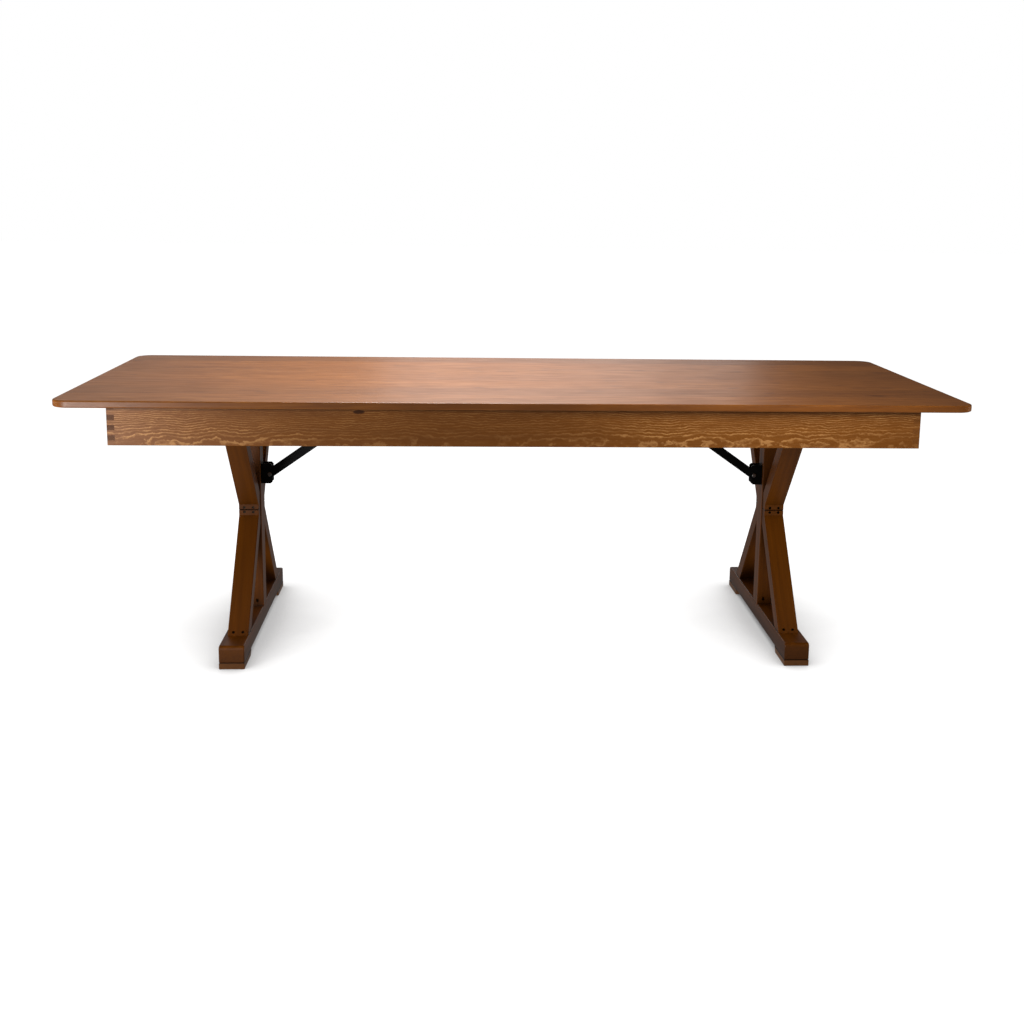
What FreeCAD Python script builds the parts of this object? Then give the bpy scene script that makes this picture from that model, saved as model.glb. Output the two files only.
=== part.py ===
import FreeCAD, Part
import math
import os

# Folding trestle table: plank top on a finger-jointed apron, two X-braced trestles that fold
# inward under the top, and a steel strut that props each trestle open.
# Frame: +Z up, X along the table, front at -Y, origin on the floor below the table's centre.
# The right-hand trestle is drawn first and the left-hand one is its mirror image.

# Driving dimensions of the table
TABLE_LENGTH = 2438.0
TABLE_WIDTH = 1016.0
TABLE_HEIGHT = 762.0

# Top
TOP_THICKNESS = 19.0
TOP_CORNER_RADIUS = 48.0
TOP_EDGE_EASE = 4.0
BOARD_COUNT = 7

# Apron
END_OVERHANG = 130.0
SIDE_OVERHANG = 63.0
APRON_DEPTH = 109.0
APRON_THICKNESS = 20.0
APRON_EDGE_EASE = 2.0
FINGER_COUNT = 8
CORNER_BLOCK_LEG = 62.0
CORNER_BLOCK_HEIGHT = 60.0

# Cleats and battens under the top
CLEAT_STRIP_SIZE = 20.0
CLEAT_STRIP_END_GAP = 70.0
HINGE_CLEAT_WIDTH = 60.0
BATTEN_WIDTH = 60.0
BATTEN_END_GAP = 12.0

# Trestle
TRESTLE_INSET = 429.0
FOOT_WIDTH = 70.0
FOOT_END_GAP = 15.0
FOOT_RAIL_HEIGHT = 48.0
FOOT_END_RADIUS = 11.0
PAD_THICKNESS = 18.0
PAD_LENGTH = 125.0
PAD_BEVEL = 14.0
POST_WIDTH = 60.0
POST_DEPTH = 60.0
CROSSING_RISE = 5.0
RAIL_HEIGHT = 76.0
RAIL_END_GAP = 25.0
RAIL_TOP_GAP = 0.3
WOOD_EDGE_EASE = 3.0

# X arms
ARM_THICKNESS = 58.0
ARM_WIDTH = 44.0
ARM_RECESS = 3.0
ARM_FOOT_INSET = 94.0
ARM_RAIL_INSET = 60.0
NECK_HALF_HEIGHT = 16.0
NECK_PROUD = 32.0
ARM_EDGE_EASE = 2.0

# Strut bracket
BRACKET_LENGTH = 33.0
BRACKET_HEIGHT = 60.0
BRACKET_WALL = 5.0
BRACKET_CORNER = 5.0
PIVOT_DROP = 273.0
PIVOT_SETBACK = 25.0
PIVOT_ABOVE_BRACKET_FOOT = 28.0
BOLT_RADIUS = 4.0
BOLT_HEAD_RADIUS = 6.5
BOLT_HEAD_HEIGHT = 4.5
BOLT_SOCKET_RADIUS = 2.6
BOLT_SOCKET_DEPTH = 2.5
NUT_RADIUS = 7.0
NUT_HEIGHT = 6.5
BOLT_END_PROUD = 2.0

# Strut
STRUT_SIZE = 25.0
STRUT_WALL = 2.0
STRUT_EDGE_EASE = 1.5
STRUT_ANGLE = 35.0
FOLD_ANGLE = 90.0
STRUT_SIDE_GAP = 0.5
CROSS_PIN_RADIUS = 5.0
CROSS_PIN_DROP = 24.0
CROSS_PIN_PROUD = 7.5
FOLDED_TOP_GAP = 2.5

# Catch plates and latch
CATCH_SIDE_GAP = 1.0
CATCH_WALL = 5.0
CATCH_FLANGE = 3.0
CATCH_FLANGE_WIDTH = 30.0
CATCH_OUTER_REACH = 26.0
CATCH_INNER_REACH = 9.0
CATCH_ARM_REACH = 50.0
CATCH_ARM_DEPTH = 17.5
CATCH_LEG_GAP = 2.0
NOTCH_GAP = 0.5
LATCH_THICKNESS = 4.0
LATCH_SIDE_GAP = 1.0
LATCH_PIVOT_RUN = 38.0
LATCH_PIVOT_DROP = 11.0
LATCH_TOOTH_REACH = 32.0
LATCH_TOOTH_DROP = 12.5
LATCH_TOOTH_WIDTH = 11.0
LATCH_ARM_TOP = 1.0
LATCH_ARM_DEPTH = 9.0
LATCH_TAIL_REACH = 13.0
LATCH_TAIL_GAP = 0.4
LATCH_TAB_LENGTH = 13.0
LATCH_TAB_THICKNESS = 3.0
LATCH_PIN_RADIUS = 3.0
LATCH_PIN_HEAD_RADIUS = 5.5
LATCH_PIN_HEAD_HEIGHT = 2.0

# Butt hinges
HINGE_END_INSET = 130.0
HINGE_LENGTH = 90.0
HINGE_LEAF_WIDTH = 34.0
HINGE_LEAF_THICKNESS = 2.5
HINGE_KNUCKLE_RADIUS = 5.0
HINGE_KNUCKLE_COUNT = 5
HINGE_KNUCKLE_GAP = 0.3
HINGE_PIN_RADIUS = 2.5
HINGE_PIN_HEAD_RADIUS = 3.8
HINGE_PIN_HEAD_HEIGHT = 2.0
HINGE_SCREW_COUNT = 3
HINGE_SCREW_EDGE = 13.0
HINGE_SCREW_LINE = 12.0

# Screws
SCREW_SHANK_RADIUS = 2.0
SCREW_HEAD_RADIUS = 4.0
SCREW_HEAD_HEIGHT = 2.4
SCREW_SLOT_WIDTH = 1.0
SCREW_SLOT_DEPTH = 1.2
SCREW_SLOT_LENGTH = 5.0
LEG_SCREW_LENGTH = 32.0
NECK_SCREW_LENGTH = 50.0
TOP_SCREW_LENGTH = 27.0
CATCH_SCREW_LENGTH = 14.0
ARM_SCREW_SPACING = 26.0
ARM_SCREW_FROM_TOE = 11.0
ARM_SCREW_FROM_SEAM = 7.0
ARM_SCREW_SINK = 2.0
POST_SCREW_RISE = 14.0
CLEAT_SCREW_SEAT = 19.0
CLEAT_SCREW_COUNT = 6
BATTEN_SCREW_COUNT = 4
BATTEN_SCREW_END = 60.0
BRACKET_SCREW_EDGE = 10.0
CATCH_SCREW_EDGE = 13.0

# Clearances
RUNNING_GAP = 0.08
SEAT_GAP = 0.05
STOP_GAP = 0.5
CUT_OVERRUN = 30.0

# Shapes of the small parts, as shares of the sizes that they follow
POST_SCREW_TILT_SHARE = 0.8
TOE_SCREW_TILT_SHARE = 0.6
LATCH_TAIL_DEPTH_SHARE = 0.55

# How nearly an edge lies along or across an axis to be counted so, as shares of a unit length
PARALLEL_SHARE = 0.87
ACROSS_SHARE = 0.28

Vector = FreeCAD.Vector
UP = Vector(0, 0, 1)
DOWN = Vector(0, 0, -1)
BACK = Vector(0, 1, 0)
OUTWARD = Vector(1, 0, 0)

# Heights and planes that several pieces share
half_length = TABLE_LENGTH / 2
half_width = TABLE_WIDTH / 2
underside = TABLE_HEIGHT - TOP_THICKNESS
apron_half_length = half_length - END_OVERHANG
apron_half_width = half_width - SIDE_OVERHANG
apron_bottom = underside - APRON_DEPTH
apron_inner_y = apron_half_width - APRON_THICKNESS
trestle_x = half_length - TRESTLE_INSET
inner_face = trestle_x - FOOT_WIDTH / 2
outer_face = trestle_x + FOOT_WIDTH / 2
foot_top = PAD_THICKNESS + FOOT_RAIL_HEIGHT
rail_bottom = underside - RAIL_HEIGHT
strut_half = STRUT_SIZE / 2
lane = strut_half + STRUT_SIDE_GAP
pivot_x = inner_face - PIVOT_SETBACK
pivot_z = underside - PIVOT_DROP
crossing_z = (foot_top + rail_bottom) / 2 + CROSSING_RISE
arm_inner = inner_face + ARM_RECESS
arm_x = arm_inner + ARM_THICKNESS / 2
neck_reach = POST_DEPTH / 2 + NECK_PROUD
foot_reach = apron_inner_y - FOOT_END_GAP
rail_reach = apron_inner_y - CLEAT_STRIP_SIZE - RAIL_END_GAP
arm_foot_reach = foot_reach - ARM_FOOT_INSET
arm_rail_reach = rail_reach - ARM_RAIL_INSET
hinge_y = rail_reach - HINGE_END_INSET

# The hinge axis is set so that the folded strut lies just under the top
axis_setback = HINGE_KNUCKLE_RADIUS + STOP_GAP
hinge_x = inner_face - axis_setback
hinge_z = underside - FOLDED_TOP_GAP - strut_half - PIVOT_SETBACK + axis_setback
cleat_bottom = hinge_z + axis_setback
folded_face = hinge_z - axis_setback

# The strut's cross pin at rest, and the way it leaves its notch as the trestle folds
slope = math.radians(STRUT_ANGLE)
cross_z = underside - CROSS_PIN_DROP
strut_length = (cross_z - pivot_z) / math.sin(slope)
cross_x = pivot_x - strut_length * math.cos(slope)
strut_ratio = (FOLD_ANGLE + STRUT_ANGLE) / FOLD_ANGLE
exit_x = (cross_z - hinge_z) - strut_ratio * (cross_z - pivot_z)
exit_z = (hinge_x - cross_x) - strut_ratio * (pivot_x - cross_x)
exit_way = Vector(exit_x, 0, exit_z)
exit_way.normalize()


def box(x0, x1, y0, y1, z0, z1):
    """Box between two corners."""
    return Part.makeBox(x1 - x0, y1 - y0, z1 - z0, Vector(x0, y0, z0))


def prism_x(points, x0, x1):
    """Solid of a (y, z) outline, drawn out along X."""
    loop = [Vector(x0, y, z) for y, z in points]
    face = Part.Face(Part.makePolygon(loop + loop[:1]))
    return face.extrude(Vector(x1 - x0, 0, 0))


def prism_y(points, y0, y1):
    """Solid of an (x, z) outline, drawn out along Y."""
    loop = [Vector(x, y0, z) for x, z in points]
    face = Part.Face(Part.makePolygon(loop + loop[:1]))
    return face.extrude(Vector(0, y1 - y0, 0))


def prism_z(points, z0, z1):
    """Solid of an (x, y) outline, drawn out along Z."""
    loop = [Vector(x, y, z0) for x, y in points]
    face = Part.Face(Part.makePolygon(loop + loop[:1]))
    return face.extrude(Vector(0, 0, z1 - z0))


def rod_y(x, z, radius, y0, y1):
    """Cylinder along Y."""
    return Part.makeCylinder(radius, y1 - y0, Vector(x, y0, z), BACK)


def direction(edge):
    """Unit direction of a straight edge, or a zero vector for a curved one."""
    if edge.Curve.TypeId != "Part::GeomLine":
        return Vector(0, 0, 0)
    way = edge.Vertexes[-1].Point - edge.Vertexes[0].Point
    way.normalize()
    return way


def edges_along(shape, axis):
    """Straight edges that run along an axis."""
    return [e for e in shape.Edges if abs(direction(e).dot(axis)) > PARALLEL_SHARE]


def edges_across(shape, axis):
    """Straight edges at right angles to an axis."""
    return [e for e in shape.Edges if abs(direction(e).dot(axis)) < ACROSS_SHARE]


def mirrored(shape):
    """Left-hand copy of a right-hand shape."""
    return shape.mirror(Vector(0, 0, 0), OUTWARD)


def flipped(shape):
    """Rear copy of a front shape."""
    return shape.mirror(Vector(0, 0, 0), BACK)


def placed(shape, point, way):
    """Copy of a shape drawn along +Z, moved to a point and turned to a direction."""
    copy = shape.copy()
    copy.Placement = FreeCAD.Placement(point, FreeCAD.Rotation(UP, way))
    return copy


def drilled(shape, holes):
    """Shape with the holes that reach it."""
    near = [h for h in holes if h.BoundBox.intersect(shape.BoundBox)]
    return shape.cut(near) if near else shape


def screw(length):
    """Flat-head screw along +Z, its head flush with the origin."""
    head = Part.makeCone(SCREW_HEAD_RADIUS, SCREW_SHANK_RADIUS, SCREW_HEAD_HEIGHT)
    body = head.fuse(Part.makeCylinder(SCREW_SHANK_RADIUS, length)).removeSplitter()
    half = SCREW_SLOT_LENGTH / 2
    thin = SCREW_SLOT_WIDTH / 2
    slots = [box(-half, half, -thin, thin, 0, SCREW_SLOT_DEPTH)]
    slots.append(box(-thin, thin, -half, half, 0, SCREW_SLOT_DEPTH))
    return body.cut(slots)


def screw_hole(length):
    """Hole for a screw, with a straight way in above its head."""
    wide = SCREW_HEAD_RADIUS + SEAT_GAP
    thin = SCREW_SHANK_RADIUS + SEAT_GAP
    hole = Part.makeCylinder(thin, length + SEAT_GAP)
    hole = hole.fuse(Part.makeCone(wide, thin, SCREW_HEAD_HEIGHT))
    return hole.fuse(Part.makeCylinder(wide, CUT_OVERRUN, Vector(0, 0, 0), DOWN)).removeSplitter()


class Fasteners:
    """One kind of screw: the screws placed so far and the holes that they need."""

    def __init__(self, length):
        self.master = screw(length)
        self.cutter = screw_hole(length)
        self.screws = []
        self.holes = []

    def add(self, point, way):
        self.screws.append(placed(self.master, point, way))
        self.holes.append(placed(self.cutter, point, way))


def spread(count, reach):
    """Evenly spaced places from -reach to +reach."""
    return [reach * (2 * i / (count - 1) - 1) for i in range(count)]


# Top boards
def top_slab():
    """Whole top, with rounded corners and eased edges."""
    slab = box(-half_length, half_length, -half_width, half_width, underside, TABLE_HEIGHT)
    slab = slab.makeFillet(TOP_CORNER_RADIUS, edges_along(slab, UP))
    rim = [e for e in slab.Edges if abs(e.BoundBox.ZLength) < TOP_EDGE_EASE]
    return slab.makeFillet(TOP_EDGE_EASE, rim)


def top_boards():
    """The top, ripped into boards along its length."""
    slab = top_slab()
    board = TABLE_WIDTH / BOARD_COUNT
    boards = []
    for i in range(BOARD_COUNT):
        start = -half_width + i * board
        strip = box(-half_length, half_length, start, start + board, underside, TABLE_HEIGHT)
        boards.append(slab.common(strip))
    return boards


# Apron
def finger_slots(odd, x0, x1, y0, y1):
    """Every second finger of a corner, to be cut away from one board."""
    pitch = APRON_DEPTH / FINGER_COUNT
    first = 1 if odd else 0
    slots = []
    for i in range(first, FINGER_COUNT, 2):
        low = apron_bottom + i * pitch
        slots.append(box(x0, x1, y0, y1, low, low + pitch))
    return slots


def eased_bottom(board, axis):
    """Board with its two long lower edges eased."""
    low = [e for e in edges_along(board, axis) if e.BoundBox.ZMax < apron_bottom + APRON_EDGE_EASE]
    return board.makeFillet(APRON_EDGE_EASE, low)


def front_apron():
    """Long apron board; its lowest finger ends each corner at the bottom."""
    board = box(-apron_half_length, apron_half_length, -apron_half_width, -apron_inner_y,
                apron_bottom, underside)
    board = eased_bottom(board, OUTWARD)
    inner_x = apron_half_length - APRON_THICKNESS
    slots = finger_slots(True, inner_x, apron_half_length, -apron_half_width, -apron_inner_y)
    return board.cut(slots + [mirrored(s) for s in slots])


def right_apron():
    """End apron board, with the fingers that fill the long boards' gaps."""
    inner_x = apron_half_length - APRON_THICKNESS
    board = box(inner_x, apron_half_length, -apron_half_width, apron_half_width,
                apron_bottom, underside)
    board = eased_bottom(board, BACK)
    slots = finger_slots(False, inner_x, apron_half_length, -apron_half_width, -apron_inner_y)
    return board.cut(slots + [flipped(s) for s in slots])


def corner_blocks():
    """Triangular glue blocks in the apron's four corners."""
    x = apron_half_length - APRON_THICKNESS
    y = -apron_inner_y
    outline = [(x, y), (x - CORNER_BLOCK_LEG, y), (x, y + CORNER_BLOCK_LEG)]
    block = prism_z(outline, underside - CORNER_BLOCK_HEIGHT, underside)
    pair = [block, flipped(block)]
    return pair + [mirrored(b) for b in pair]


# Cleats and battens
def front_cleat():
    """Strip in the corner between the front apron and the top."""
    reach = apron_half_length - APRON_THICKNESS - CLEAT_STRIP_END_GAP
    return box(-reach, reach, -apron_inner_y, -apron_inner_y + CLEAT_STRIP_SIZE,
               underside - CLEAT_STRIP_SIZE, underside)


batten_reach = apron_inner_y - CLEAT_STRIP_SIZE - BATTEN_END_GAP
hinge_cleat_x = inner_face - STOP_GAP - HINGE_CLEAT_WIDTH / 2


def cross_batten(x, width):
    """Batten across the underside of the top."""
    batten = box(x - width / 2, x + width / 2, -batten_reach, batten_reach, cleat_bottom, underside)
    low = [e for e in edges_along(batten, BACK) if e.BoundBox.ZMax < cleat_bottom + WOOD_EDGE_EASE]
    inner = [e for e in low if e.BoundBox.XMax < x]
    return batten.makeFillet(WOOD_EDGE_EASE, inner)


# Trestle timber
def foot():
    """Foot rail, its upper ends rounded over and its other edges eased."""
    rail = box(inner_face, outer_face, -foot_reach, foot_reach, PAD_THICKNESS, foot_top)
    ends = [e for e in edges_along(rail, OUTWARD) if e.BoundBox.ZMin > foot_top - FOOT_END_RADIUS]
    rail = rail.makeFillet(FOOT_END_RADIUS, ends)
    low = [e for e in edges_along(rail, OUTWARD) if e.BoundBox.ZMax < PAD_THICKNESS + WOOD_EDGE_EASE]
    return rail.makeFillet(WOOD_EDGE_EASE, edges_along(rail, BACK) + low)


def front_pad():
    """Pad under the front end of the foot, its inner end bevelled."""
    end = -foot_reach
    outline = [(end, 0), (end + PAD_LENGTH - PAD_BEVEL, 0), (end + PAD_LENGTH, PAD_THICKNESS),
               (end, PAD_THICKNESS)]
    pad = prism_x(outline, inner_face, outer_face)
    ends = [e for e in edges_along(pad, OUTWARD) if e.BoundBox.YMax < end + ARM_EDGE_EASE]
    return pad.makeFillet(ARM_EDGE_EASE, edges_along(pad, BACK) + ends)


def post():
    """Upright between the foot and the top rail."""
    upright = box(inner_face, inner_face + POST_WIDTH, -POST_DEPTH / 2, POST_DEPTH / 2,
                  foot_top, rail_bottom)
    return upright.makeFillet(WOOD_EDGE_EASE, edges_along(upright, UP))


def front_arm(reach, start_z, side):
    """Arm from the post's front face to the foot (side -1) or to the top rail (side 1)."""
    post_y = -POST_DEPTH / 2
    neck_y = -neck_reach
    neck_z = crossing_z + side * NECK_HALF_HEIGHT
    run = Vector(0, neck_y + reach, neck_z - start_z)
    run.normalize()
    across = Vector(0, abs(run.z), side * abs(run.y))
    heel = Vector(0, -reach, start_z) + across * ARM_WIDTH
    heel_y = heel.y + run.y * (start_z - heel.z) / run.z
    post_z = heel.z + run.z * (post_y - heel.y) / run.y
    outline = [(-reach, start_z), (neck_y, neck_z), (neck_y, crossing_z),
               (post_y, crossing_z), (post_y, post_z), (heel_y, start_z)]
    arm = prism_x(outline, arm_inner, arm_inner + ARM_THICKNESS)
    middle = Vector(arm_x, neck_y, crossing_z)
    seam = [e for e in edges_along(arm, OUTWARD) if e.CenterOfMass.distanceToPoint(middle) < ARM_EDGE_EASE]
    return arm.makeFillet(ARM_EDGE_EASE, edges_across(arm, OUTWARD) + seam)


def top_rail():
    """Rail that the top rests on and the hinges hang from."""
    rail = box(inner_face, outer_face, -rail_reach, rail_reach,
               rail_bottom, underside - RAIL_TOP_GAP)
    low = [e for e in edges_along(rail, BACK) if e.BoundBox.ZMax < rail_bottom + WOOD_EDGE_EASE]
    return rail.makeFillet(WOOD_EDGE_EASE, low)


# Hinges
def knuckles(moving, y):
    """Spans along Y of one leaf's knuckles, for the hinge centred at y."""
    length = HINGE_LENGTH / HINGE_KNUCKLE_COUNT
    first = 1 if moving else 0
    spans = []
    for i in range(first, HINGE_KNUCKLE_COUNT, 2):
        start = y - HINGE_LENGTH / 2 + i * length
        spans.append((start + HINGE_KNUCKLE_GAP / 2, start + length - HINGE_KNUCKLE_GAP / 2))
    return spans


def fixed_leaf(y):
    """Leaf under the hinge cleat."""
    top = cleat_bottom
    low = cleat_bottom - HINGE_LEAF_THICKNESS
    clear = HINGE_KNUCKLE_RADIUS + STOP_GAP
    plate = box(hinge_x - HINGE_LEAF_WIDTH, hinge_x - clear, y - HINGE_LENGTH / 2,
                y + HINGE_LENGTH / 2, low, top)
    parts = []
    for y0, y1 in knuckles(False, y):
        parts.append(box(hinge_x - clear, hinge_x, y0, y1, low, top - STOP_GAP))
        parts.append(rod_y(hinge_x, hinge_z, HINGE_KNUCKLE_RADIUS, y0, y1))
    leaf = plate.fuse(parts).removeSplitter()
    bore = rod_y(hinge_x, hinge_z, HINGE_PIN_RADIUS + SEAT_GAP, y - HINGE_LENGTH, y + HINGE_LENGTH)
    return leaf.cut(bore)


def moving_leaf(y):
    """Leaf on the inner face of the top rail."""
    near = inner_face - HINGE_LEAF_THICKNESS
    clear = HINGE_KNUCKLE_RADIUS + STOP_GAP
    plate = box(near, inner_face, y - HINGE_LENGTH / 2, y + HINGE_LENGTH / 2,
                hinge_z - HINGE_LEAF_WIDTH, hinge_z - clear)
    parts = []
    for y0, y1 in knuckles(True, y):
        parts.append(box(near, inner_face - STOP_GAP, y0, y1, hinge_z - clear, hinge_z))
        parts.append(rod_y(hinge_x, hinge_z, HINGE_KNUCKLE_RADIUS, y0, y1))
    leaf = plate.fuse(parts).removeSplitter()
    reach = HINGE_LENGTH
    bore = rod_y(hinge_x, hinge_z, HINGE_PIN_RADIUS + RUNNING_GAP, y - reach, y + reach)
    return leaf.cut(bore)


def hinge_pin(y):
    """Pin of the hinge centred at y, headed at both ends."""
    end = HINGE_LENGTH / 2
    pin = rod_y(hinge_x, hinge_z, HINGE_PIN_RADIUS, y - end, y + end)
    head = rod_y(hinge_x, hinge_z, HINGE_PIN_HEAD_RADIUS, y + end, y + end + HINGE_PIN_HEAD_HEIGHT)
    tail = rod_y(hinge_x, hinge_z, HINGE_PIN_HEAD_RADIUS, y - end - HINGE_PIN_HEAD_HEIGHT, y - end)
    return pin.fuse([head, tail])


def hinge_screw_places(y):
    """Places along Y of one leaf's screws."""
    return [y + step for step in spread(HINGE_SCREW_COUNT, HINGE_LENGTH / 2 - HINGE_SCREW_EDGE)]


# Strut, its bracket and its bolt
def bracket():
    """Channel-shaped bracket on the post, open toward the table's centre."""
    low = pivot_z - PIVOT_ABOVE_BRACKET_FOOT
    high = low + BRACKET_HEIGHT
    tip = inner_face - BRACKET_LENGTH
    half = lane + BRACKET_WALL
    outline = [(inner_face, low), (inner_face, high), (tip + BRACKET_CORNER, high),
               (tip, high - BRACKET_CORNER), (tip, low + BRACKET_CORNER), (tip + BRACKET_CORNER, low)]
    body = prism_y(outline, -half, half)
    gap = box(tip - CUT_OVERRUN, inner_face - BRACKET_WALL, -lane, lane,
              low - CUT_OVERRUN, high + CUT_OVERRUN)
    hole = rod_y(pivot_x, pivot_z, BOLT_RADIUS + SEAT_GAP, -half - CUT_OVERRUN, half + CUT_OVERRUN)
    return body.cut([gap, hole])


def pivot_bolt():
    """Round-headed bolt through the bracket, its head at the front."""
    seat = -lane - BRACKET_WALL
    tail = -seat + NUT_HEIGHT + BOLT_END_PROUD
    shank = rod_y(pivot_x, pivot_z, BOLT_RADIUS, seat, tail)
    head = rod_y(pivot_x, pivot_z, BOLT_HEAD_RADIUS, seat - BOLT_HEAD_HEIGHT, seat)
    rim = [e for e in head.Edges if e.BoundBox.YMax < seat - BOLT_HEAD_HEIGHT / 2]
    head = head.makeFillet(BOLT_HEAD_HEIGHT / 2, rim)
    face = seat - BOLT_HEAD_HEIGHT
    socket = hex_y(BOLT_SOCKET_RADIUS, face, face + BOLT_SOCKET_DEPTH)
    return shank.fuse(head).removeSplitter().cut(socket)


def hex_y(radius, y0, y1):
    """Six-sided bar along Y on the strut's pivot."""
    angles = [math.pi * i / 3 for i in range(6)]
    outline = [(pivot_x + radius * math.cos(a), pivot_z + radius * math.sin(a)) for a in angles]
    return prism_y(outline, y0, y1)


def pivot_nut():
    """Nut on the rear end of the pivot bolt."""
    seat = lane + BRACKET_WALL
    bore = rod_y(pivot_x, pivot_z, BOLT_RADIUS + SEAT_GAP, seat - CUT_OVERRUN, seat + CUT_OVERRUN)
    return hex_y(NUT_RADIUS, seat, seat + NUT_HEIGHT).cut(bore)


def strut():
    """Square tube with rounded ends, drawn level from the pivot and then raised to its slope."""
    far = pivot_x - strut_length
    half = strut_half
    bar = box(far - half, pivot_x + half, -half, half, pivot_z - half, pivot_z + half)
    bar = bar.makeFillet(half - STRUT_EDGE_EASE, edges_along(bar, BACK))
    bar = bar.makeFillet(STRUT_EDGE_EASE, edges_along(bar, OUTWARD))
    core = half - STRUT_WALL
    hollow = box(far - CUT_OVERRUN, pivot_x + CUT_OVERRUN, -core, core,
                 pivot_z - core, pivot_z + core)
    bolt = rod_y(pivot_x, pivot_z, BOLT_RADIUS + RUNNING_GAP, -STRUT_SIZE, STRUT_SIZE)
    pin = rod_y(far, pivot_z, CROSS_PIN_RADIUS + SEAT_GAP, -STRUT_SIZE, STRUT_SIZE)
    tube = bar.cut([hollow, bolt, pin])
    tube.rotate(Vector(pivot_x, 0, pivot_z), BACK, STRUT_ANGLE)
    return tube


catch_face = strut_half + CATCH_SIDE_GAP
catch_back = catch_face + CATCH_WALL
latch_face = catch_back + LATCH_SIDE_GAP
latch_back = latch_face + LATCH_THICKNESS


def cross_pin():
    """Pin across the strut's upper end that rests in the catch plates."""
    reach = latch_back + CROSS_PIN_PROUD - LATCH_THICKNESS
    pin = rod_y(cross_x, cross_z, CROSS_PIN_RADIUS, -reach, reach)
    return pin.makeChamfer(STRUT_WALL / 2, [e for e in pin.Edges if e.Closed])


latch_x = cross_x - LATCH_PIVOT_RUN
latch_z = underside - LATCH_PIVOT_DROP


def front_catch(with_latch):
    """Angle plate whose notch holds one end of the cross pin; the front one carries the latch."""
    low = folded_face + CATCH_LEG_GAP
    arm_low = underside - CATCH_ARM_DEPTH
    outer = cross_x + CATCH_OUTER_REACH
    lip = cross_x - CATCH_INNER_REACH
    inner = cross_x - CATCH_ARM_REACH
    outline = [(outer, underside), (outer, low), (lip, low), (lip, arm_low), (inner, arm_low),
               (inner, underside)]
    plate = prism_y(outline, -catch_back, -catch_face)
    flange = box(inner, outer, -catch_back - CATCH_FLANGE_WIDTH, -catch_face,
                 underside - CATCH_FLANGE, underside)
    half = CROSS_PIN_RADIUS + NOTCH_GAP
    side = Vector(-exit_way.z, 0, exit_way.x) * half
    start = Vector(cross_x, 0, cross_z)
    mouth = start + exit_way * CUT_OVERRUN
    corners = [start + side, mouth + side, mouth - side, start - side]
    notch = prism_y([(p.x, p.z) for p in corners], -catch_back - CUT_OVERRUN, 0)
    seat = rod_y(cross_x, cross_z, half, -catch_back - CUT_OVERRUN, 0)
    cuts = [notch, seat]
    if with_latch:
        cuts.append(rod_y(latch_x, latch_z, LATCH_PIN_RADIUS + SEAT_GAP, -catch_back - CUT_OVERRUN, 0))
    arm_keep = box(inner - CUT_OVERRUN, lip, -catch_back - CUT_OVERRUN, 0, arm_low, underside)
    cut_tools = cuts[0].cut(arm_keep)
    return plate.fuse(flange).removeSplitter().cut([cut_tools] + cuts[1:])


def latch_pin():
    """Headed pin that carries the latch on the front catch plate."""
    pin = rod_y(latch_x, latch_z, LATCH_PIN_RADIUS, -latch_back - SEAT_GAP, -catch_face)
    head = rod_y(latch_x, latch_z, LATCH_PIN_HEAD_RADIUS,
                 -latch_back - SEAT_GAP - LATCH_PIN_HEAD_HEIGHT, -latch_back - SEAT_GAP)
    return pin.fuse(head)


def latch():
    """Pawl that drops behind the cross pin; its tail stops on the catch plate's flange."""
    tooth = LATCH_TOOTH_REACH
    tail_top = LATCH_PIVOT_DROP - CATCH_FLANGE - LATCH_TAIL_GAP
    root = LATCH_TOOTH_REACH - LATCH_TOOTH_WIDTH
    arm_low = LATCH_ARM_TOP - LATCH_ARM_DEPTH
    tail_foot = -LATCH_TAIL_REACH * LATCH_TAIL_DEPTH_SHARE
    outline = [(tooth, LATCH_ARM_TOP), (tooth, -LATCH_TOOTH_DROP), (root, -LATCH_TOOTH_DROP),
               (root, arm_low), (tail_foot, arm_low), (-LATCH_TAIL_REACH, tail_top), (0, tail_top)]
    points = [(latch_x + x, latch_z + z) for x, z in outline]
    body = prism_y(points, -latch_back, -latch_face)
    tab_low = latch_z - LATCH_TOOTH_DROP
    tab = box(latch_x + root, latch_x + tooth, -latch_back - LATCH_TAB_LENGTH, -latch_back,
              tab_low, tab_low + LATCH_TAB_THICKNESS)
    bore = rod_y(latch_x, latch_z, LATCH_PIN_RADIUS + RUNNING_GAP, -latch_back - CUT_OVERRUN, 0)
    return body.fuse(tab).removeSplitter().cut(bore)


# Screws of one trestle
def toe_screw(kit, x, reach, start_z, rise):
    """Slanted screw through an arm's end; reach is signed, and rise is 1 on the foot and -1 on the rail."""
    side = math.copysign(1, reach)
    toe = Vector(x, reach, start_z)
    neck = Vector(x, side * neck_reach, crossing_z - rise * NECK_HALF_HEIGHT)
    along = neck - toe
    along.normalize()
    slant = Vector(0, -side * TOE_SCREW_TILT_SHARE, -rise)
    slant.normalize()
    kit.add(toe + along * ARM_SCREW_FROM_TOE + slant * ARM_SCREW_SINK, slant)


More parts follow.
